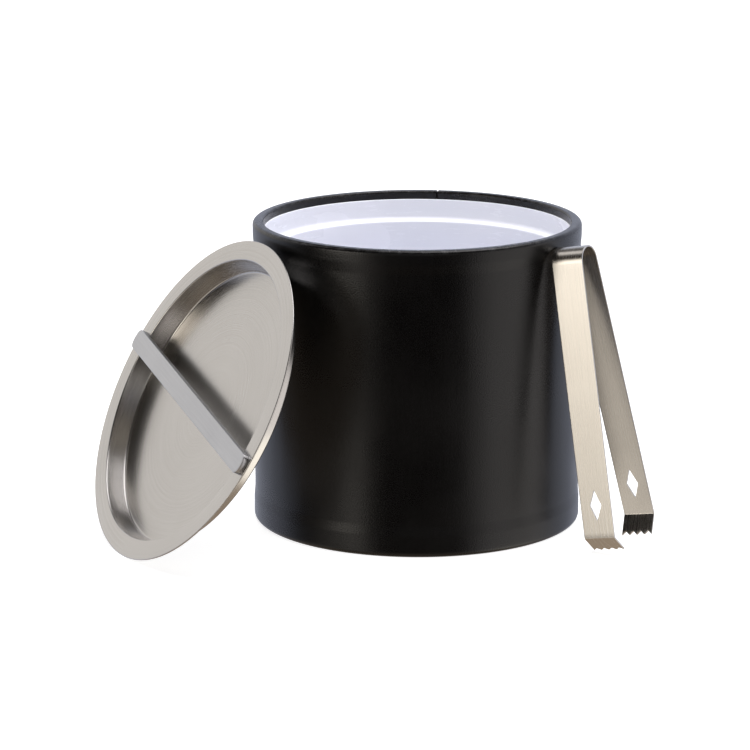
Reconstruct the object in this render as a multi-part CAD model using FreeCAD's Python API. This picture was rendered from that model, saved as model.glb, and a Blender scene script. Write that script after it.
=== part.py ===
import FreeCAD, Part
import math
import os

os.makedirs("parts", exist_ok=True)

vec = FreeCAD.Vector
UP = vec(0, 0, 1)

# Bucket, all sizes in millimetres and degrees.
height = 182.6
rimRadius = 98.5
wallRadius = 98.0
rimBandHeight = 8.0
baseBandHeight = 13.0
bandBlend = 6.0
rimRounding = 2.5
baseRounding = 3.5
sheetThickness = 0.9
boreRadius = 92.9
underHemInnerRadius = 84.1
seamWidth = 0.4
seamAngle = 82.4

# Rigid base and insulation.
boardThickness = 5.0
coverRadius = 83.8
foamUnderLiner = 11.1
sleeveFootRadius = 75.0

# Liner.
linerTopDrop = 5.0
ledgeDrop = 17.5
linerTopRadius = 91.0
linerShoulderRadius = 90.2
ledgeInnerRadius = 86.5
ledgeRounding = 1.5
linerFloorRadius = 83.0
linerFloorRounding = 12.0
linerWall = 1.6

# Lid.
flangeRadius = 100.05
flangeInnerRadius = 87.95
dishRadius = 85.1
dishDepth = 12.0
panThickness = 1.0
strapWidth = 12.4
strapThickness = 3.3
strapHalfLength = 98.0
strapEndSagitta = 1.6
strapCornerRounding = 2.6
strapOffset = 1.1

# Where the lid leans: centre of its flange, the way its top faces, and the turn of its strap.
lidCentre = vec(-132.06, -70.86, 88.85)
lidAzimuth = -152.79
lidElevation = 27.78
strapTurn = -11.19

# Tongs.
stripWidth = 20.0
stripThickness = 1.0
bowRadius = 9.5
bowGap = 0.3
armLength = 161.7
armSpread = 6.0
clawLength = 13.2
frontClawBend = 50.3
backClawBend = 39.9
toothCount = 5
toothDepth = 2.2
diamondDrop = 142.0
diamondHalfLength = 9.1
diamondHalfWidth = 3.8

# Where the tongs lean: centre of their bow and the turns of the strip.
bowCentre = vec(91.79, -61.61, 169.0)
tongsHeading = -30.37
tongsLean = 10.2
tongsTip = 2.76


def outline(corners):
    """Face in the XZ plane through corners given as (x, z, rounding)."""
    count = len(corners)
    starts = []
    middles = []
    ends = []
    for index in range(count):
        before = corners[index - 1]
        here = corners[index]
        after = corners[(index + 1) % count]
        point = vec(here[0], 0, here[1])
        back = vec(before[0], 0, before[1]).sub(point)
        forward = vec(after[0], 0, after[1]).sub(point)
        back.normalize()
        forward.normalize()
        if here[2] == 0:
            starts.append(point)
            middles.append(None)
            ends.append(point)
            continue
        halfAngle = back.getAngle(forward) / 2
        reach = here[2] / math.tan(halfAngle)
        bisector = back.add(forward)
        bisector.normalize()
        centre = point.add(bisector * (here[2] / math.sin(halfAngle)))
        starts.append(point.add(back * reach))
        middles.append(centre.sub(bisector * here[2]))
        ends.append(point.add(forward * reach))
    edges = []
    for index in range(count):
        if middles[index] is not None:
            edges.append(Part.Arc(starts[index], middles[index], ends[index]).toShape())
        following = starts[(index + 1) % count]
        if ends[index].distanceToPoint(following) > 1e-6:
            edges.append(Part.makeLine(ends[index], following))
    return Part.Face(Part.Wire(edges))


def turned(corners):
    """Solid of revolution about the upright axis."""
    return outline(corners).revolve(vec(0, 0, 0), UP, 360)


def bucketSkin(inset):
    """Outer side of the bucket from the base up to the rim, moved inwards by inset."""
    rim = rimRadius - inset
    wall = wallRadius - inset
    top = height - inset
    return [
        (rim, inset, baseRounding - inset),
        (rim, baseBandHeight, 20.0),
        (wall, baseBandHeight + bandBlend, 20.0),
        (wall, height - rimBandHeight - bandBlend, 20.0),
        (rim, height - rimBandHeight, 20.0),
        (rim, top, rimRounding - inset),
    ]


def leatheretteWrap():
    """Sheet round the bucket, turned under the base and turned in over the rim."""
    hemRadius = boreRadius - sheetThickness
    hemFoot = height - ledgeDrop - linerWall
    corners = [(underHemInnerRadius, 0, 0)]
    corners += bucketSkin(0)
    corners += [
        (hemRadius, height, 1.4),
        (hemRadius, hemFoot, 0),
        (boreRadius, hemFoot, 0),
        (boreRadius, height - sheetThickness, 0.5),
    ]
    corners += reversed(bucketSkin(sheetThickness))
    corners += [(underHemInnerRadius, sheetThickness, 0)]
    sheet = turned(corners)
    slit = Part.makeBox(40, seamWidth, height + 10, vec(70, -seamWidth / 2, -5))
    slit.rotate(vec(0, 0, 0), UP, seamAngle)
    return sheet.cut(slit)


def coreWall():
    """Rigid pressed-board tube inside the wrap."""
    corners = [(boreRadius, sheetThickness, 0)]
    corners += bucketSkin(sheetThickness)
    corners += [(boreRadius, height - sheetThickness, 0.5)]
    return turned(corners)


def baseBoard():
    """Rigid disc closing the foot of the tube."""
    top = sheetThickness + boardThickness
    return turned([
        (0, sheetThickness, 0),
        (boreRadius, sheetThickness, 0),
        (boreRadius, top, 0),
        (0, top, 0),
    ])


def baseCover():
    """Thin disc lying flush with the turned-under hem."""
    return turned([
        (0, 0, 0),
        (coverRadius, 0, 0.25),
        (coverRadius, sheetThickness, 0),
        (0, sheetThickness, 0),
    ])


def linerSide(inset):
    """Inner side of the liner from the shoulder to the floor, moved outwards by inset."""
    floorTop = sheetThickness + boardThickness + foamUnderLiner + linerWall
    return [
        (ledgeInnerRadius + inset, height - ledgeDrop - inset, ledgeRounding if inset == 0 else 0),
        (linerFloorRadius + inset, floorTop - inset, linerFloorRounding + inset),
        (0, floorTop - inset, 0),
    ]


def liner():
    """One-piece moulded liner with a lip, a ledge and a rounded floor."""
    lip = height - linerTopDrop
    outerRadius = boreRadius - sheetThickness
    corners = [
        (outerRadius, lip, 0.35),
        (linerTopRadius, lip, 0.45),
        (linerShoulderRadius, height - ledgeDrop, 2.5),
    ]
    corners += linerSide(0)
    corners += reversed(linerSide(linerWall))
    corners += [(outerRadius, height - ledgeDrop - linerWall, 0)]
    return turned(corners)


def linerPlug():
    """Space taken by the liner and everything inside it."""
    top = height - ledgeDrop - linerWall
    corners = linerSide(linerWall)
    corners += [(0, top, 0)]
    return turned(corners)


def foamSleeve():
    """Insulation between the liner and the tube."""
    foot = sheetThickness + boardThickness + foamUnderLiner
    top = height - ledgeDrop - linerWall
    block = turned([
        (sleeveFootRadius, foot, 0),
        (boreRadius, foot, 0),
        (boreRadius, top, 0),
        (sleeveFootRadius, top, 0),
    ])
    return block.cut(linerPlug())


def foamDisc():
    """Insulation under the liner floor."""
    foot = sheetThickness + boardThickness
    return turned([
        (0, foot, 0),
        (boreRadius, foot, 0),
        (boreRadius, foot + foamUnderLiner, 0),
        (0, foot + foamUnderLiner, 0),
    ])


def lidPan():
    """Pressed sheet lid: a flat flange round a shallow dish."""
    under = -panThickness
    return turned([
        (0, -dishDepth, 0),
        (dishRadius, -dishDepth, 1.6),
        (flangeInnerRadius, 0, 0.9),
        (flangeRadius, 0, 0.4),
        (flangeRadius, under, 0.4),
        (flangeInnerRadius + 0.8, under, 0.3),
        (dishRadius + 1.0, under - dishDepth, 2.4),
        (0, under - dishDepth, 0),
    ])


def lidStrap():
    """Flat straight strap handle lying across the dish with both ends on the flange."""
    half = strapWidth / 2
    end = strapHalfLength
    square = end - strapEndSagitta
    plan = Part.Face(Part.Wire([
        Part.makeLine(vec(-square, -half, 0), vec(square, -half, 0)),
        Part.Arc(vec(square, -half, 0), vec(end, 0, 0), vec(square, half, 0)).toShape(),
        Part.makeLine(vec(square, half, 0), vec(-square, half, 0)),
        Part.Arc(vec(-square, half, 0), vec(-end, 0, 0), vec(-square, -half, 0)).toShape(),
    ]))
    bar = plan.extrude(vec(0, 0, strapThickness))
    upright = [edge for edge in bar.Edges if abs(edge.BoundBox.ZLength - strapThickness) < 1e-6]
    bar = bar.makeFillet(strapCornerRounding, upright)
    bar = bar.makeFillet(0.3, bar.Edges)
    bar.rotate(vec(0, 0, 0), UP, 90)
    bar.translate(vec(strapOffset, 0, 0))
    return bar


def tongsBow():
    """Round bow joining the two arms."""
    half = stripWidth / 2
    start = math.radians(armSpread) + bowGap / bowRadius
    inner = bowRadius - stripThickness

    def at(radius, angle):
        return vec(-half, radius * math.cos(angle), radius * math.sin(angle))

    stop = math.pi - start
    outerArc = Part.Arc(at(bowRadius, start), at(bowRadius, math.pi / 2), at(bowRadius, stop))
    innerArc = Part.Arc(at(inner, stop), at(inner, math.pi / 2), at(inner, start))
    face = Part.Face(Part.Wire([
        outerArc.toShape(),
        Part.makeLine(at(bowRadius, stop), at(inner, stop)),
        innerArc.toShape(),
        Part.makeLine(at(inner, start), at(bowRadius, start)),
    ]))
    return face.extrude(vec(stripWidth, 0, 0))


def tongsArm(bend):
    """Arm hanging from the bow centre on its outer side, with its toothed claw bent inwards."""
    half = stripWidth / 2
    angle = math.radians(bend)
    outer = bowRadius
    inner = bowRadius - stripThickness
    along = (-math.sin(angle), -math.cos(angle))
    across = (-math.cos(angle), math.sin(angle))
    tipY = outer + clawLength * along[0]
    tipZ = -armLength + clawLength * along[1]
    innerBend = -armLength + stripThickness * math.tan(angle / 2)
    side = outline([
        (outer, 0, 0),
        (outer, -armLength, 2.0),
        (tipY, tipZ, 0),
        (tipY + stripThickness * across[0], tipZ + stripThickness * across[1], 0),
        (inner, innerBend, 1.0),
        (inner, 0, 0),
    ])
    side.rotate(vec(0, 0, 0), UP, 90)
    arm = side.extrude(vec(stripWidth, 0, 0))
    arm.translate(vec(-half, 0, 0))

    through = vec(0, across[0] * 4, across[1] * 4)
    pitch = stripWidth / (toothCount - 1)
    for index in range(toothCount - 1):
        middle = -half + pitch * (index + 0.5)
        outside = vec(middle, tipY - across[0] * 2, tipZ - across[1] * 2)
        beyond = vec(0, along[0], along[1])
        root = outside.sub(beyond * toothDepth)
        wide = pitch / 2 - 0.25
        left = outside.add(vec(-wide, 0, 0))
        right = outside.add(vec(wide, 0, 0))
        notch = Part.makePolygon([root, left, left.add(beyond), right.add(beyond), right, root])
        arm = arm.cut(Part.Face(notch).extrude(through))

    top = vec(0, inner - 1, -diamondDrop + diamondHalfLength)
    left = vec(-diamondHalfWidth, inner - 1, -diamondDrop)
    foot = vec(0, inner - 1, -diamondDrop - diamondHalfLength)
    right = vec(diamondHalfWidth, inner - 1, -diamondDrop)
    diamond = Part.makePolygon([top, left, foot, right, top])
    arm = arm.cut(Part.Face(diamond).extrude(vec(0, stripThickness + 2, 0)))
    arm.rotate(vec(0, 0, 0), vec(1, 0, 0), armSpread)
    return arm


def placeLid(shape):
    """Lean a lid piece against the left of the bucket."""
    turn = FreeCAD.Rotation(UP, lidAzimuth)
    turn = turn.multiply(FreeCAD.Rotation(vec(0, 1, 0), 90 - lidElevation))
    turn = turn.multiply(FreeCAD.Rotation(UP, strapTurn))
    shape.Placement = FreeCAD.Placement(lidCentre, turn).multiply(shape.Placement)
    return shape


def placeTongs(shape):
    """Lean a tongs piece against the right of the bucket."""
    turn = FreeCAD.Rotation(tongsHeading, -tongsLean, tongsTip)
    shape.Placement = FreeCAD.Placement(bowCentre, turn).multiply(shape.Placement)
    return shape


def frontArm():
    """Arm on the near side, turned half round so that its claw faces the other one."""
    arm = tongsArm(frontClawBend)
    arm.rotate(vec(0, 0, 0), UP, 180)
    return arm


pieces = {
    "leatherette_wrap": leatheretteWrap(),
    "core_wall": coreWall(),
    "base_board": baseBoard(),
    "base_cover": baseCover(),
    "liner": liner(),
    "foam_sleeve": foamSleeve(),
    "foam_disc": foamDisc(),
    "lid_pan": placeLid(lidPan()),
    "lid_strap": placeLid(lidStrap()),
    "tongs_bow": placeTongs(tongsBow()),
    "tongs_arm_front": placeTongs(frontArm()),
    "tongs_arm_back": placeTongs(tongsArm(backClawBend)),
}

for name, shape in pieces.items():
    if shape.ShapeType != "Solid" and len(shape.Solids) == 1:
        shape = shape.Solids[0]
    box = shape.BoundBox
    print(name, shape.ShapeType, shape.isValid(), round(shape.Volume / 1000, 2), "cm3",
          [round(v, 2) for v in (box.XMin, box.YMin, box.ZMin, box.XMax, box.YMax, box.ZMax)])
    shape.exportStep("parts/" + name + ".step")
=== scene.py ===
import math

import bmesh
import bpy
import numpy as np
from mathutils import Euler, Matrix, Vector


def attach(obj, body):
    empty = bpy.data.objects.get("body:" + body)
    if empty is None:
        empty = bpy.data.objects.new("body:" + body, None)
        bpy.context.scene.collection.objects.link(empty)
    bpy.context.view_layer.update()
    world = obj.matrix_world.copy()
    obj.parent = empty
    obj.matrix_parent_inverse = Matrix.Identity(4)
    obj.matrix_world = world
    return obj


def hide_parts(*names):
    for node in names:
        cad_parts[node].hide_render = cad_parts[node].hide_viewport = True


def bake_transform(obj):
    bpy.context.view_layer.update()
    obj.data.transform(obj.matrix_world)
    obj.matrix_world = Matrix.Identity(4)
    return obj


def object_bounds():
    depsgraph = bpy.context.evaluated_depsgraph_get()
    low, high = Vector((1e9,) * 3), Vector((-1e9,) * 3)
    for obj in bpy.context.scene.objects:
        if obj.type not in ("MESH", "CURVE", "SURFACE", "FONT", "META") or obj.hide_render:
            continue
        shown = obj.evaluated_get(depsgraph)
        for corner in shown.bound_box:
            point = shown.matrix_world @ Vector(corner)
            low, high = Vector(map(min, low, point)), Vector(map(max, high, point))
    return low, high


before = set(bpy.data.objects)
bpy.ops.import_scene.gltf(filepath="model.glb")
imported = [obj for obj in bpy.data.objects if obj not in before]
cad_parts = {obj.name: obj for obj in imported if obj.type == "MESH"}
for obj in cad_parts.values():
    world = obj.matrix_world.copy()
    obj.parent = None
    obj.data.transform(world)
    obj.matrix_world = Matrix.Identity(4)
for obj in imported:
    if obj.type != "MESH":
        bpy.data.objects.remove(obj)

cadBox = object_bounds()
mm = 0.001
print("frame loaded:", sorted(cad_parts))


# shader wiring

class Wire:
    def __init__(self, tree, socket=None):
        self.tree = tree
        self.socket = socket

    # one node: its type, the values or wires of its sockets, and its settings
    def node(self, kind, inputs=(), out=0, **settings):
        made = self.tree.nodes.new(kind)
        for name, value in settings.items():
            setattr(made, name, value)
        for key, value in dict(inputs).items():
            if isinstance(value, Wire):
                self.tree.links.new(value.socket, made.inputs[key])
            else:
                made.inputs[key].default_value = value
        return Wire(self.tree, made.outputs[out])

    def maths(self, operation, *values):
        inputs = dict(enumerate((self,) + values))
        return self.node("ShaderNodeMath", inputs, operation=operation)

    def vector(self, operation, *values, out=0):
        inputs = dict(enumerate((self,) + values))
        return self.node("ShaderNodeVectorMath", inputs, out=out, operation=operation)

    # 0 where this value is below low, 1 above high, smooth between
    def between(self, low, high):
        inputs = {"Value": self, "From Min": low, "From Max": high}
        return self.node("ShaderNodeMapRange", inputs, interpolation_type="SMOOTHSTEP")

    # colour a where this value is 0, colour b where it is 1
    def colours(self, a, b):
        inputs = {0: self, 6: a, 7: b}
        return self.node("ShaderNodeMix", inputs, out=2, data_type="RGBA")

    def __add__(self, other):
        return self.maths("ADD", other)

    def __radd__(self, other):
        return self.maths("ADD", other)

    def __sub__(self, other):
        return self.maths("SUBTRACT", other)

    def __rsub__(self, other):
        return (self * -1.0) + other

    def __mul__(self, other):
        return self.maths("MULTIPLY", other)

    def __rmul__(self, other):
        return self.maths("MULTIPLY", other)


def colour(red, green, blue):
    return (red, green, blue, 1.0)


# a new material with its shader's fixed values set; gives the material, a wire to build on and the shader
def newMaterial(name, fixed):
    material = bpy.data.materials.new(name)
    material.use_nodes = True
    shader = material.node_tree.nodes["Principled BSDF"]
    for socket, value in fixed.items():
        shader.inputs[socket].default_value = value
    return material, Wire(material.node_tree), shader


def feed(shader, **wires):
    names = {"base": "Base Color", "roughness": "Roughness", "normal": "Normal"}
    for name, wire in wires.items():
        wire.tree.links.new(wire.socket, shader.inputs[names[name]])


def objectPlace(wire, scale=(1, 1, 1)):
    place = wire.node("ShaderNodeTexCoord", out="Object")
    return wire.node("ShaderNodeMapping", {"Vector": place, "Scale": scale})


def surfacePlace(wire, scale=(1, 1, 1)):
    place = wire.node("ShaderNodeUVMap", uv_map="surface")
    return wire.node("ShaderNodeMapping", {"Vector": place, "Scale": scale})


def noise(wire, place, scale, detail=3.0, roughness=0.5):
    inputs = {"Vector": place, "Scale": scale, "Detail": detail, "Roughness": roughness}
    return wire.node("ShaderNodeTexNoise", inputs)


def bump(wire, height, distance):
    return wire.node("ShaderNodeBump", {"Height": height, "Distance": distance, "Strength": 1.0})


# materials

wrapLook = dict(dark=colour(0.0009, 0.0008, 0.0009), light=colour(0.0022, 0.0020, 0.0020),
                roughness=(0.23, 0.31), pebble=1400.0, pebbleHeight=0.05 * mm,
                drawn=(700.0, 40.0, 1.0), sheenHeight=2.0 * mm)


def leatherette(name, look):
    # fine pebbled sheet: rounded cells, a faint upright draw, and a painted sheen: the rim's crest painted
    # lighter in patches, and a little smoother
    material, wire, shader = newMaterial(name, {"Specular IOR Level": 0.38})
    flat = surfacePlace(wire)
    cells = wire.node("ShaderNodeTexVoronoi", {"Vector": flat, "Scale": look["pebble"]},
                      out="Distance", feature="SMOOTH_F1", voronoi_dimensions="2D")
    draw = noise(wire, surfacePlace(wire, look["drawn"]), 1.0, 4.0, 0.6)
    cloud = noise(wire, objectPlace(wire), 18.0, 3.0)
    place = wire.node("ShaderNodeSeparateXYZ", {"Vector": objectPlace(wire)}, out="Z")
    top = cadBox[1][2]
    crest = place.between(top - look["sheenHeight"], top)
    # painted sheen: patches along the top of the rim's crest are painted lighter grey, standing in for the
    # crest's highlight
    crestSheen = crest * noise(wire, objectPlace(wire), 220.0, 4.0).between(0.45, 0.7)
    tone = (cloud * 0.6 + draw * 0.4).between(0.3, 0.7)
    shade = tone.colours(look["dark"], look["light"])
    shade = (crestSheen * 0.6).colours(shade, colour(0.05, 0.05, 0.052))
    low, high = look["roughness"]
    gloss = cloud.between(0.3, 0.7) * (high - low) + low + cells * 0.08 - crest * 0.05
    height = cells * -1.0 + draw * 0.35
    feed(shader, base=shade, roughness=gloss,
         normal=bump(wire, height, look["pebbleHeight"]))
    return material


linerLook = dict(dark=colour(0.80, 0.815, 0.885), light=colour(0.84, 0.85, 0.92), roughness=(0.24, 0.30))


def mouldedPlastic(name, look):
    # glossy moulding with a slight orange peel and a few faint rubbed patches
    material, wire, shader = newMaterial(name, {"IOR": 1.49})
    place = objectPlace(wire)
    cloud = noise(wire, place, 14.0, 2.0)
    peel = noise(wire, place, 420.0, 2.0)
    scuff = noise(wire, objectPlace(wire, (1, 1, 6)), 90.0, 5.0, 0.7).between(0.56, 0.72)
    low, high = look["roughness"]
    feed(shader, base=cloud.between(0.35, 0.65).colours(look["dark"], look["light"]),
         roughness=cloud * (high - low) + low + scuff * 0.05,
         normal=bump(wire, peel, 0.02 * mm))
    return material


# brushed sheet: streaks run along the surface's first or second direction, as its map is laid
def brushedSteel(name, look):
    material, wire, shader = newMaterial(name, {"Metallic": 1.0})
    fine = noise(wire, surfacePlace(wire, look["fine"]), 1.0, 2.0, 0.6)
    broad = noise(wire, surfacePlace(wire, look["broad"]), 1.0, 3.0, 0.6)
    cloud = noise(wire, objectPlace(wire), 22.0, 3.0)
    smear = noise(wire, objectPlace(wire), 9.0, 4.0, 0.65).between(0.52, 0.75)
    tone = (fine * 0.45 + broad * 0.35 + cloud * 0.2).between(0.32, 0.68)
    low, high = look["roughness"]
    gloss = fine.between(0.3, 0.7) * (high - low) + low + smear * look["smear"]
    height = fine * 0.7 + broad * 0.3
    feed(shader, base=tone.colours(look["dark"], look["light"]), roughness=gloss,
         normal=bump(wire, height, look["depth"]))
    return material


panLook = dict(dark=colour(0.495, 0.478, 0.455), light=colour(0.578, 0.563, 0.543), roughness=(0.20, 0.27),
               smear=0.05, fine=(1.2, 5200.0, 1.0), broad=(0.5, 1500.0, 1.0), depth=0.0018 * mm)
strapLook = dict(dark=colour(0.50, 0.505, 0.52), light=colour(0.58, 0.585, 0.60), roughness=(0.32, 0.42),
                 smear=0.05, fine=(5200.0, 60.0, 1.0), broad=(900.0, 25.0, 1.0), depth=0.010 * mm)
tongsLook = dict(dark=colour(0.60, 0.575, 0.535), light=colour(0.69, 0.665, 0.625), roughness=(0.20, 0.28),
                 smear=0.05, fine=(6500.0, 22.0, 1.0), broad=(1500.0, 9.0, 1.0), depth=0.004 * mm)
boardLook = dict(dark=colour(0.30, 0.21, 0.13), light=colour(0.46, 0.35, 0.23))
foamLook = dict(dark=colour(0.78, 0.78, 0.74), light=colour(0.90, 0.90, 0.87))


def pressedBoard(name, look):
    # flecked fibreboard
    material, wire, shader = newMaterial(name, {"Specular IOR Level": 0.3})
    fibre = noise(wire, objectPlace(wire, (1, 1, 0.25)), 900.0, 5.0, 0.7)
    fleck = noise(wire, objectPlace(wire), 260.0, 3.0)
    feed(shader, base=(fibre * 0.6 + fleck * 0.4).between(0.35, 0.65).colours(look["dark"], look["light"]),
         roughness=fleck * 0.1 + 0.8,
         normal=bump(wire, fibre, 0.1 * mm))
    return material


def expandedFoam(name, look):
    # packed beads
    material, wire, shader = newMaterial(name, {"Specular IOR Level": 0.3})
    beads = wire.node("ShaderNodeTexVoronoi", {"Vector": objectPlace(wire), "Scale": 330.0}, out="Distance")
    feed(shader, base=beads.between(0.1, 0.7).colours(look["light"], look["dark"]),
         roughness=beads * 0.1 + 0.75,
         normal=bump(wire, beads * -1.0, 0.3 * mm))
    return material


wrapMaterial = leatherette("black leatherette", wrapLook)
coverMaterial = leatherette("matt base leatherette", dict(wrapLook, roughness=(0.62, 0.72)))
linerMaterial = mouldedPlastic("white liner plastic", linerLook)
panMaterial = brushedSteel("round-brushed lid steel", panLook)
strapMaterial = brushedSteel("satin strap steel", strapLook)
tongsMaterial = brushedSteel("long-brushed tongs steel", tongsLook)
boardMaterial = pressedBoard("pressed board", boardLook)
foamMaterial = expandedFoam("bead foam", foamLook)
print("materials made")


# surfaces

# line of straight runs with round corners: each corner is (across, up, rounding) in millimetres,
# and a corner's arc is its centre plus cosine and sine of the turn times its first and its square-on radius
def roundedLine(corners, steps=8):
    points = [np.array(corners[:1], float)[:, :2]]
    for before, here, after in zip(corners, corners[1:], corners[2:]):
        corner = np.array(here[:2], float)
        if here[2] == 0:
            points.append(corner[None])
            continue
        back = np.array(before[:2]) - corner
        onward = np.array(after[:2]) - corner
        back = back / np.linalg.norm(back)
        onward = onward / np.linalg.norm(onward)
        half = math.acos(np.clip(back @ onward, -1, 1)) / 2
        middle = (back + onward) / np.linalg.norm(back + onward)
        centre = corner + middle * here[2] / math.sin(half)
        first = corner + back * here[2] / math.tan(half) - centre
        last = corner + onward * here[2] / math.tan(half) - centre
        turn = math.atan2(first[0] * last[1] - first[1] * last[0], first @ last)
        angle = np.linspace(0, turn, steps + 1)[:, None]
        points.append(centre + np.cos(angle) * first + np.sin(angle) * np.array([[-first[1], first[0]]]))
    points.append(np.array(corners[-1:], float)[:, :2])
    return np.concatenate(points) * mm


# the same line with points added evenly inside each run, so that none is longer than longest
def evenRuns(points, longest):
    counts = np.ceil(np.linalg.norm(np.diff(points, axis=0), axis=1) / longest).astype(int).clip(1)
    run = np.repeat(np.arange(len(counts)), counts)
    share = (np.arange(len(run)) - np.repeat(np.cumsum(counts) - counts, counts)) / counts[run]
    return np.concatenate([points[run] + (points[run + 1] - points[run]) * share[:, None], points[-1:]])


def runLength(points):
    return np.concatenate([[0], np.cumsum(np.linalg.norm(np.diff(points, axis=0), axis=1))])


# one mesh from grids of points (rows, columns, 3), each with its map (rows, columns, 2) in metres;
# lines of points that fall together are merged, which closes seams and poles
def gridPiece(name, grids, material, turn, centre, sharp=38.0):
    places, maps, faces, used = [], [], [], 0
    for points, flat in grids:
        rows, columns = points.shape[:2]
        index = np.arange(rows * columns).reshape(rows, columns) + used
        used += rows * columns
        corners = [index[:-1, :-1], index[:-1, 1:], index[1:, 1:], index[1:, :-1]]
        faces.append(np.stack(corners, -1).reshape(-1, 4))
        places.append(points.reshape(-1, 3))
        maps.append(flat.reshape(-1, 2))
    faces = np.concatenate(faces)
    mesh = bpy.data.meshes.new(name)
    mesh.from_pydata(np.concatenate(places).tolist(), [], faces.tolist())
    layer = mesh.uv_layers.new(name="surface")
    layer.data.foreach_set("uv", np.concatenate(maps)[faces.ravel()].astype(np.float32).ravel())
    work = bmesh.new()
    work.from_mesh(mesh)
    bmesh.ops.remove_doubles(work, verts=work.verts, dist=2e-6)
    bmesh.ops.recalc_face_normals(work, faces=work.faces)
    loose = sum(not edge.is_manifold for edge in work.edges)
    work.to_mesh(mesh)
    work.free()
    mesh.polygons.foreach_set("use_smooth", np.ones(len(mesh.polygons), bool))
    mesh.set_sharp_from_angle(angle=math.radians(sharp))
    mesh.materials.append(material)
    place = turn.to_matrix().to_4x4()
    place.translation = centre
    mesh.transform(place)
    piece = bpy.data.objects.new(name, mesh)
    bpy.context.scene.collection.objects.link(piece)
    print(name, "-", len(mesh.polygons), "faces,", loose, "open edges")
    return piece


# surface of revolution: radius and height of each line point carried round the upright axis,
# moved along the line's own normal by depth (rows, angles) in metres
def turnedPiece(name, line, angles, material, turn, centre, depth=0.0):
    slope = np.gradient(line, axis=0)
    slope = slope / np.linalg.norm(slope, axis=1).clip(1e-9)[:, None]
    radius = line[:, :1] + slope[:, 1:] * depth + 0 * angles
    height = line[:, 1:] - slope[:, :1] * depth + 0 * angles
    points = np.stack([radius * np.cos(angles), radius * np.sin(angles), height], -1)
    along = runLength(line)[:, None] + 0 * angles
    girth = 0 * along + angles * np.abs(line[:, 0]).max()
    return gridPiece(name, [(points, np.stack([girth, along], -1))], material, turn, centre)


def wholeTurn(steps):
    return np.linspace(0, 2 * math.pi, steps + 1)


# flat bar with rounded edges carried along a line. pair holds the top and the under side, (out, up) of each.
# Its cross-section is a flat loop with round edges: across grows from the inner side to the edge, turns down
# in a quarter circle, and comes back underneath in another. gap is the inner side's own distance, and short
# is how far each place across stops before the line's end, at either end that is cut
def barPiece(name, pair, look, material, turn, centre, gap, short, cutStart, columns, facing=1.0):
    half = look["width"] * mm / 2
    edge = look["edge"] * mm
    thickness = look["thickness"] * mm
    length = runLength(pair[:, :2])
    total = length[-1]
    # end rows: the quarter circle of the end's edge, then the flat end closed on its middle line
    swing = np.linspace(0, math.pi / 2, 4)
    endPlace = np.append(edge * (1 - np.sin(swing)), 0)
    endShrink = np.append(edge * (1 - np.cos(swing)), thickness / 2)
    middle = (length > 1.2 * edge) & (length < total - 1.2 * edge)
    startPlace = endPlace if cutStart else np.array([0, 0])
    startShrink = endShrink if cutStart else np.array([0, thickness / 2])
    rows = np.concatenate([startPlace[::-1], length[middle], total - endPlace])[:, None]
    shrink = np.concatenate([startShrink[::-1], 0 * length[middle], endShrink])[:, None]
    quarter = np.linspace(0, math.pi / 2, 4)[1:]
    side = np.concatenate([columns, np.ones(6), columns[::-1]])
    swell = np.concatenate([0 * columns, np.sin(quarter), np.cos(quarter - quarter[0]), 0 * columns])
    sink = np.concatenate([0 * columns, edge * (1 - np.cos(quarter)),
                           thickness - edge * (1 - np.sin(quarter - quarter[0])), 0 * columns + thickness])
    hollow = gap(rows)
    grids = []
    for hand in (-1, 1):
        across = hand * (hollow + (half - edge - hollow) * side + edge * swell)
        stop = short(np.abs(across))
        fromEnd = ((rows - (total - look["cutReach"] * mm)) / (look["cutReach"] * mm)).clip(0, 1)
        reach = rows - stop * fromEnd
        if cutStart:
            fromStart = ((look["cutReach"] * mm - rows) / (look["cutReach"] * mm)).clip(0, 1)
            reach = reach + stop * fromStart
        deep = (sink - thickness / 2) * (1 - 2 * shrink / thickness) / thickness + 0.5
        top = [np.interp(reach, length, pair[:, k]) for k in (0, 1)]
        under = [np.interp(reach, length, pair[:, k]) for k in (2, 3)]
        out = top[0] * (1 - deep) + under[0] * deep
        up = top[1] * (1 - deep) + under[1] * deep
        points = np.stack([across, facing * out, up], -1)
        flat = np.stack([across, reach], -1)
        grids.append((points, flat))
        # wall of the hole: from the top's inner side to the underside's
        holed = np.flatnonzero(hollow[:, 0] > 0.001 * mm)
        if len(holed):
            wall = slice(holed[0] - 1, holed[-1] + 2)
            pick = [0, -1]
            grids.append((points[wall][:, pick], flat[wall][:, pick]))
    return gridPiece(name, grids, material, turn, centre, 50)


# bucket: the black sheet round it, with its turned-in hems

upright = Euler((0, 0, 0))
bucket = dict(height=cadBox[1][2] / mm, rim=98.5, wall=98.0, rimBand=8.0, baseBand=13.0, bandBlend=6.0,
              rimRounding=2.5, baseRounding=3.5, sheet=0.9, hem=92.0, hemRounding=1.4, hemDrop=19.1,
              underHem=84.1, seamAngle=82.4, seamWidth=0.45, seamDepth=0.8, seamLip=0.12,
              ripple=0.05, rippleCounts=(23, 41), rippleMiddle=90.0, rippleReach=72.0)


# side from base to rim, moved inwards by inset
def bucketSide(inset):
    rim = bucket["rim"] - inset
    wall = bucket["wall"] - inset
    top = bucket["height"]
    return [(rim, inset, bucket["baseRounding"] - inset),
            (rim, bucket["baseBand"], 20.0),
            (wall, bucket["baseBand"] + bucket["bandBlend"], 20.0),
            (wall, top - bucket["rimBand"] - bucket["bandBlend"], 20.0),
            (rim, top - bucket["rimBand"], 20.0),
            (rim, top - inset, bucket["rimRounding"] - inset)]


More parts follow.
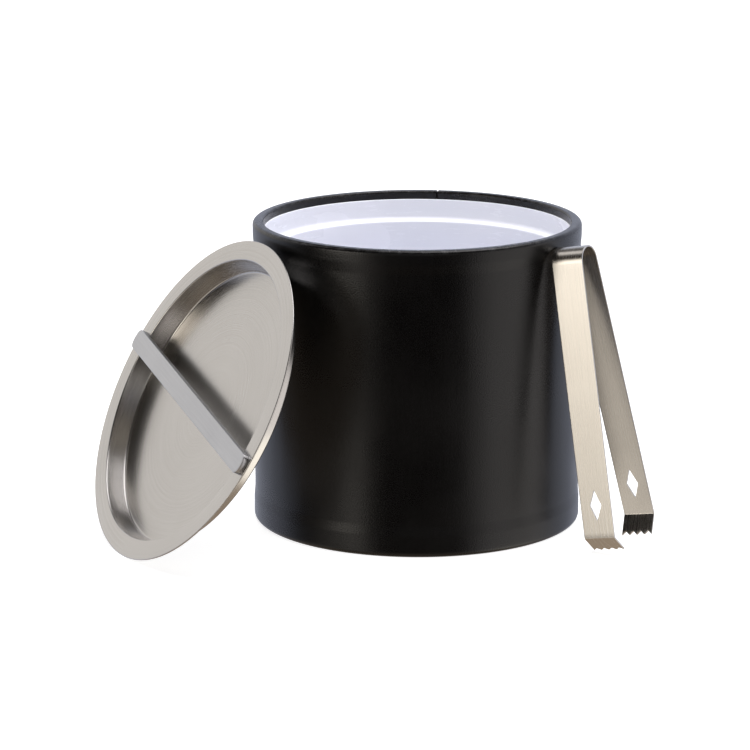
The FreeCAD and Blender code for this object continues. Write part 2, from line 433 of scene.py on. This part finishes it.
# depth below the true surface: a bell-shaped groove with slight lips where the sheet's two ends meet,
# and faint upright ripples, a sum of sines round the wall that fades towards both bands
def wrapDepth(line, angles):
    off = (angles - math.radians(bucket["seamAngle"]) + math.pi) % (2 * math.pi) - math.pi
    across = off * bucket["wall"]
    groove = np.exp(-(across / bucket["seamWidth"]) ** 2) * (bucket["seamDepth"] + bucket["seamLip"])
    lips = np.exp(-(across / (3 * bucket["seamWidth"])) ** 2) * bucket["seamLip"]
    broad, narrow = bucket["rippleCounts"]
    ripple = (2 + np.sin(angles * broad + 1.3) + np.sin(angles * narrow + 0.4)) / 4 * bucket["ripple"]
    outside = line[:, :1] > (bucket["wall"] - 0.1) * mm
    wall = np.exp(-(((line[:, 1:] / mm - bucket["rippleMiddle"]) / bucket["rippleReach"]) ** 4)) * outside
    return (groove - lips + ripple * wall) * mm


def leatheretteSkin():
    top = bucket["height"]
    back = bucket["hem"] + bucket["sheet"]
    foot = top - bucket["hemDrop"]
    seen = [(bucket["underHem"], 0, 0)] + bucketSide(0)
    seen += [(bucket["hem"], top, bucket["hemRounding"]), (bucket["hem"], foot, 0)]
    hidden = [(back, foot, 0), (back, top - bucket["sheet"], bucket["hemRounding"] - bucket["sheet"])]
    hidden += bucketSide(bucket["sheet"])[::-1] + [(bucket["underHem"], bucket["sheet"], 0)]
    seenLine = evenRuns(roundedLine(seen), 4 * mm)
    hiddenLine = evenRuns(roundedLine(hidden), 12 * mm)
    line = np.concatenate([seenLine, hiddenLine, seenLine[:1]])
    seam = math.radians(bucket["seamAngle"])
    beside = np.linspace(1.3, 4, 8)
    near = seam + np.concatenate([np.linspace(-1, 1, 33), beside, -beside]) / bucket["wall"]
    angles = np.unique(np.concatenate([wholeTurn(360)[:-1], near]))
    angles = np.append(angles, 2 * math.pi)
    depth = np.zeros((len(line), len(angles)))
    depth[1:len(seenLine) - 1] = wrapDepth(seenLine, angles)[1:-1]
    return turnedPiece("leatherette_skin", line, angles, wrapMaterial, upright, (0, 0, 0), -depth)


skin = leatheretteSkin()
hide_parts("leatherette_wrap")
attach(skin, "bucket")
print("wrap done")


# liner

linerShape = dict(lipDrop=5.0, ledgeDrop=17.5, top=91.0, shoulder=90.2, ledge=86.5, ledgeRounding=1.5,
                  floor=83.0, floorTop=18.6, floorRounding=12.0, wall=1.6)


def linerLine():
    shape = linerShape
    lip = bucket["height"] - shape["lipDrop"]
    ledge = bucket["height"] - shape["ledgeDrop"]
    wall = shape["wall"]
    return roundedLine([
        (0, shape["floorTop"] - wall, 0),
        (shape["floor"] + wall, shape["floorTop"] - wall, shape["floorRounding"] + wall),
        (shape["ledge"] + wall, ledge - wall, 0),
        (bucket["hem"], ledge - wall, 0),
        (bucket["hem"], lip, 0.35),
        (shape["top"], lip, 0.45),
        (shape["shoulder"], ledge, 2.5),
        (shape["ledge"], ledge, shape["ledgeRounding"]),
        (shape["floor"], shape["floorTop"], shape["floorRounding"]),
        (0, shape["floorTop"], 0)])


linerShell = turnedPiece("liner_shell", evenRuns(linerLine(), 6 * mm), wholeTurn(288), linerMaterial,
                         upright, (0, 0, 0))
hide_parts("liner")
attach(linerShell, "bucket")
print("liner done")


# lid and its strap

lid = dict(centre=(-132.06, -70.86, 88.85), azimuth=-152.79, elevation=27.78, strapTurn=-11.19,
           flange=100.05, flangeInner=87.95, dish=85.1, depth=12.0, sheet=1.0)
strap = dict(width=12.4, thickness=3.3, edge=0.3, half=98.0, sagitta=1.6, corner=2.6, aside=1.1,
             cutReach=12.0)
lidTurn = Euler((0, math.radians(90 - lid["elevation"]), math.radians(lid["azimuth"])))
lidCentre = np.array(lid["centre"]) * mm


def lidPanLine():
    under = -lid["sheet"]
    return roundedLine([
        (0, under - lid["depth"], 0),
        (lid["dish"] + 1.0, under - lid["depth"], 2.4),
        (lid["flangeInner"] + 0.8, under, 0.3),
        (lid["flange"], under, 0.4),
        (lid["flange"], 0, 0.4),
        (lid["flangeInner"], 0, 0.9),
        (lid["dish"], -lid["depth"], 1.6),
        (0, -lid["depth"], 0)])


panPiece = turnedPiece("lid_pan_pressed", evenRuns(lidPanLine(), 6 * mm), wholeTurn(360), panMaterial,
                       lidTurn, lidCentre)
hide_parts("lid_pan")
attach(panPiece, "lid")


# straight top and under side
def strapPair():
    end = strap["half"]
    top = [(-end, strap["thickness"], 0), (end, strap["thickness"], 0)]
    under = [(-end, 0, 0), (end, 0, 0)]
    return evenRuns(np.concatenate([roundedLine(top), roundedLine(under)], 1), 3 * mm)


# each end is a shallow arc in plan with round corners: it stops short by the sagitta times the square of the
# place across, and by what a quarter circle leaves at each corner
def strapShort(across):
    half = strap["width"] * mm / 2
    corner = strap["corner"] * mm
    beyond = (across - (half - corner)).clip(0, corner)
    return strap["sagitta"] * mm * (across / half) ** 2 + corner - np.sqrt(corner ** 2 - beyond ** 2)


strapTurn = lidTurn.to_matrix() @ Euler((0, 0, math.radians(lid["strapTurn"]))).to_matrix()
strapCentre = lidCentre + np.array(strapTurn @ Vector((strap["aside"] * mm, 0, 0)))
strapBar = barPiece("lid_strap_bar", strapPair(), strap, strapMaterial, strapTurn.to_euler(), strapCentre,
                    lambda rows: 0 * rows, strapShort, True,
                    np.array([0, 0.3, 0.55, 0.65, 0.75, 0.84, 0.9, 0.95, 0.98, 1]))
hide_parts("lid_strap")
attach(strapBar, "lid")
print("lid done")


# tongs: one bent strip in two halves that meet at the bow's crest

tongs = dict(centre=(91.79, -61.61, 169.0), heading=-30.37, lean=10.2, tip=2.76, width=20.0, thickness=1.0,
             edge=0.15, bow=9.5, arm=161.7, spread=6.0, claw=13.2, clawRounding=2.0, frontBend=50.3,
             backBend=39.9, teeth=5, toothDepth=2.2, toothFlat=0.25, diamondDrop=142.0, diamondLength=9.1,
             diamondWidth=3.8, cutReach=9.0)
tongsTurn = Euler((math.radians(tongs["tip"]), -math.radians(tongs["lean"]), math.radians(tongs["heading"])))
tongsCentre = np.array(tongs["centre"]) * mm


# outer and inner side of half the strip as (out, up): quarter of the bow's circle from crest to arm,
# then the straight arm and the claw, swung out together by the spread
def armPair(bend):
    spread = math.radians(tongs["spread"])
    outer = tongs["bow"]
    inner = outer - tongs["thickness"]
    drop = -tongs["arm"]
    claw = math.radians(bend)
    foot = np.array([-math.sin(claw), -math.cos(claw)]) * tongs["claw"]
    inward = np.array([-math.cos(claw), math.sin(claw)]) * tongs["thickness"]
    outerFoot = np.array([outer, drop]) + foot
    innerFoot = outerFoot + inward
    innerBend = drop + tongs["thickness"] * math.tan(claw / 2)
    outerArm = roundedLine([(outer, 0, 0), (outer, drop, tongs["clawRounding"]), (*outerFoot, 0)])
    innerArm = roundedLine([(inner, 0, 0), (inner, innerBend, tongs["clawRounding"] - tongs["thickness"]),
                            (*innerFoot, 0)])
    swing = np.array([[math.cos(spread), math.sin(spread)], [-math.sin(spread), math.cos(spread)]])
    share = np.concatenate([[0, 0.004, 0.012], np.linspace(0, 1, 49)[1:]])
    turn = math.pi / 2 + (spread - math.pi / 2) * share[:, None]
    circle = np.concatenate([np.cos(turn), np.sin(turn)], 1) * mm
    bow = np.concatenate([circle * outer, circle * inner], 1)
    arm = np.concatenate([outerArm @ swing, innerArm @ swing], 1)
    return bow, arm


def armPiece(name, bend, facing):
    bow, arm = armPair(bend)
    root = runLength(bow[:, :2])[-1]
    diamond = root + tongs["diamondDrop"] * mm
    reach = tongs["diamondLength"] * mm
    # rows at the diamond's corners as well as at the strip's own bends
    armLength = root + runLength(arm[:, :2])
    keys = np.unique(np.concatenate([armLength, diamond + reach * np.linspace(-1, 1, 13)]))
    rows = evenRuns(keys[:, None], 3 * mm)[:, 0]
    arm = np.stack([np.interp(rows, armLength, arm[:, k]) for k in range(4)], 1)
    pair = np.concatenate([bow[:-1], arm])

    # diamond: the inner side moves out in a straight taper from its tips to its middle
    def gap(rows):
        return tongs["diamondWidth"] * mm * (1 - np.abs(rows - diamond) / reach).clip(0)

    # teeth: a zigzag across the strip, flat at each tip, says how far each place stops short
    def short(across):
        pitch = tongs["width"] * mm / (tongs["teeth"] - 1)
        zigzag = np.abs((across / pitch + 0.5) % 1 - 0.5) * 2
        flatShare = tongs["toothFlat"] * mm / pitch * 2
        return tongs["toothDepth"] * mm * ((zigzag - flatShare) / (1 - flatShare)).clip(0)

    columns = np.array([0, 0.25, 1.25, 2.5, 3.75, 4.75, 5, 5.25, 6.25, 7.5, 8.75, 9.6, 10]) / 10
    return barPiece(name, pair, tongs, tongsMaterial, tongsTurn, tongsCentre, gap, short, False,
                    columns, facing)


for name, node, bend, facing in (("tongs_half_front", "tongs_arm_front", tongs["frontBend"], -1.0),
                                 ("tongs_half_back", "tongs_arm_back", tongs["backBend"], 1.0)):
    half = armPiece(name, bend, facing)
    spread = math.radians(tongs["spread"])
    root = Vector((0, facing * math.cos(spread), math.sin(spread))) * tongs["bow"] * mm
    root = (tongsTurn.to_matrix() @ root) + Vector(tongsCentre)
    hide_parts(node)
    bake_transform(half)
    if facing < 0:
        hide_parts("tongs_bow")
print("tongs done")


# inner parts keep their exact shape and get their own finish
for node, material in (("core_wall", boardMaterial), ("base_board", boardMaterial),
                       ("base_cover", coverMaterial), ("foam_sleeve", foamMaterial),
                       ("foam_disc", foamMaterial)):
    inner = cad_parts[node]
    inner.data.materials.clear()
    inner.data.materials.append(material)
print("inner parts finished")


# floor, studio and camera

floorLook = dict(tone=colour(0.54, 0.54, 0.54), worn=colour(0.52, 0.52, 0.525), size=9.0, glow=0.86)


def makeFloor():
    material, wire, shader = newMaterial("pale floor", {
        "Roughness": 0.9, "Specular IOR Level": 0.0, "Emission Color": colour(1, 1, 1),
        "Emission Strength": floorLook["glow"]})
    feed(shader, base=noise(wire, objectPlace(wire), 3.0).colours(floorLook["worn"], floorLook["tone"]))
    half = floorLook["size"] / 2
    corners = [(-half, -half, 0), (half, -half, 0), (half, half, 0), (-half, half, 0)]
    mesh = bpy.data.meshes.new("floor")
    mesh.from_pydata(corners, [], [(0, 1, 2, 3)])
    mesh.materials.append(material)
    floor = bpy.data.objects.new("floor", mesh)
    bpy.context.scene.collection.objects.link(floor)
    # metal and gloss reflect the room's own dark lower half instead of the floor
    floor.visible_glossy = False


makeFloor()

# light cards round the object: azimuth from the front towards the right, elevation, softness of the edges,
# all in degrees, then colour and strength
cards = (
    dict(name="left front", azimuth=(-66, -39), elevation=(-8, 20), soft=(7, 6),
         tint=(1.0, 0.935, 0.84), strength=2.75),
    dict(name="left front low", azimuth=(-52, -37), elevation=(-40, -10), soft=(6, 5),
         tint=(1.0, 0.93, 0.85), strength=1.30),
    dict(name="front", azimuth=(-22, 28), elevation=(5, 24), soft=(8, 4),
         tint=(1.0, 0.97, 0.93), strength=0.55),
    dict(name="left low", azimuth=(-84, -52), elevation=(-44, -23), soft=(8, 4),
         tint=(1.0, 0.93, 0.84), strength=0.80),
    dict(name="upper left", azimuth=(-125, -92), elevation=(40, 66), soft=(6, 5),
         tint=(1.0, 0.96, 0.94), strength=0.95),
    dict(name="right", azimuth=(42, 108), elevation=(-44, 26), soft=(12, 12),
         tint=(1.0, 0.95, 0.93), strength=1.15),
    dict(name="right low", azimuth=(58, 104), elevation=(-52, -24), soft=(8, 4),
         tint=(1.0, 0.95, 0.86), strength=1.90),
    dict(name="left back", azimuth=(-160, -106), elevation=(-2, 34), soft=(9, 8),
         tint=(1.0, 0.97, 0.94), strength=0.95),
)
overhead = dict(towards=(0.25, 0.18, 0.95), spread=24.0, soft=0.25, tint=(1.0, 0.98, 1.0), strength=3.0)
room = dict(front=(0.026, 0.021, 0.019), back=(0.66, 0.70, 0.84), above=(0.06, 0.055, 0.05),
            under=(0.42, 0.34, 0.265), backdrop=(1.0, 1.0, 1.0))


def makeStudio():
    world = bpy.data.worlds.new("studio")
    bpy.context.scene.world = world
    world.use_nodes = True
    tree = world.node_tree
    wire = Wire(tree)
    aim = wire.node("ShaderNodeTexCoord", out="Generated").vector("NORMALIZE")
    x, y, z = (wire.node("ShaderNodeSeparateXYZ", {"Vector": aim}, out=axis) for axis in "XYZ")
    azimuth = x.maths("ARCTAN2", y * -1.0)
    elevation = z.maths("ARCSINE")
    light = y.between(-0.05, 0.35).colours(colour(*room["front"]), colour(*room["back"]))
    light = elevation.between(math.radians(26), math.radians(46)).colours(light, colour(*room["above"]))
    light = elevation.between(math.radians(-50), math.radians(-18)).colours(colour(*room["under"]), light)
    for card in cards:
        inside = 1.0
        for angle, limits, soft in ((azimuth, card["azimuth"], card["soft"][0]),
                                    (elevation, card["elevation"], card["soft"][1])):
            low, high = (math.radians(limit) for limit in limits)
            soft = math.radians(soft)
            inside = angle.between(low - soft, low + soft) * inside
            inside = (1 - angle.between(high - soft, high + soft)) * inside
        light = inside.colours(light, colour(*(c * card["strength"] for c in card["tint"])))
    near = aim.vector("DOT_PRODUCT", tuple(Vector(overhead["towards"]).normalized()), out="Value")
    edge = math.cos(math.radians(overhead["spread"] * (1 + overhead["soft"])))
    core = math.cos(math.radians(overhead["spread"] * (1 - overhead["soft"])))
    glow = colour(*(c * overhead["strength"] for c in overhead["tint"]))
    light = near.between(edge, core).colours(light, glow)
    seen = wire.node("ShaderNodeLightPath", out="Is Camera Ray")
    light = seen.colours(light, colour(*room["backdrop"]))
    shade = tree.nodes["Background"]
    tree.links.new(light.socket, shade.inputs["Color"])


makeStudio()

# large soft lamp high above: fills the liner and whitens the floor, but leaves no patch in metal or gloss
lamp = dict(place=(0.05, -0.1, 1.5), size=1.4, watts=26.0)


def makeLamp():
    light = bpy.data.lights.new("overhead lamp", "AREA")
    light.shape = "DISK"
    light.size = lamp["size"]
    light.energy = lamp["watts"]
    source = bpy.data.objects.new("overhead lamp", light)
    source.location = lamp["place"]
    source.visible_glossy = False
    bpy.context.scene.collection.objects.link(source)


makeLamp()

view = dict(lens=174.49, place=(0.0, -2.13653, 0.5951), tilt=76.614, swing=0.677)


def makeCamera():
    lens = bpy.data.cameras.new("camera")
    lens.lens = view["lens"]
    lens.sensor_width = 36.0
    lens.clip_end = 50.0
    camera = bpy.data.objects.new("camera", lens)
    camera.location = view["place"]
    camera.rotation_euler = (math.radians(view["tilt"]), 0, math.radians(view["swing"]))
    bpy.context.scene.collection.objects.link(camera)
    bpy.context.scene.camera = camera


makeCamera()
bpy.context.scene.view_settings.view_transform = "Standard"
print("studio and camera set")
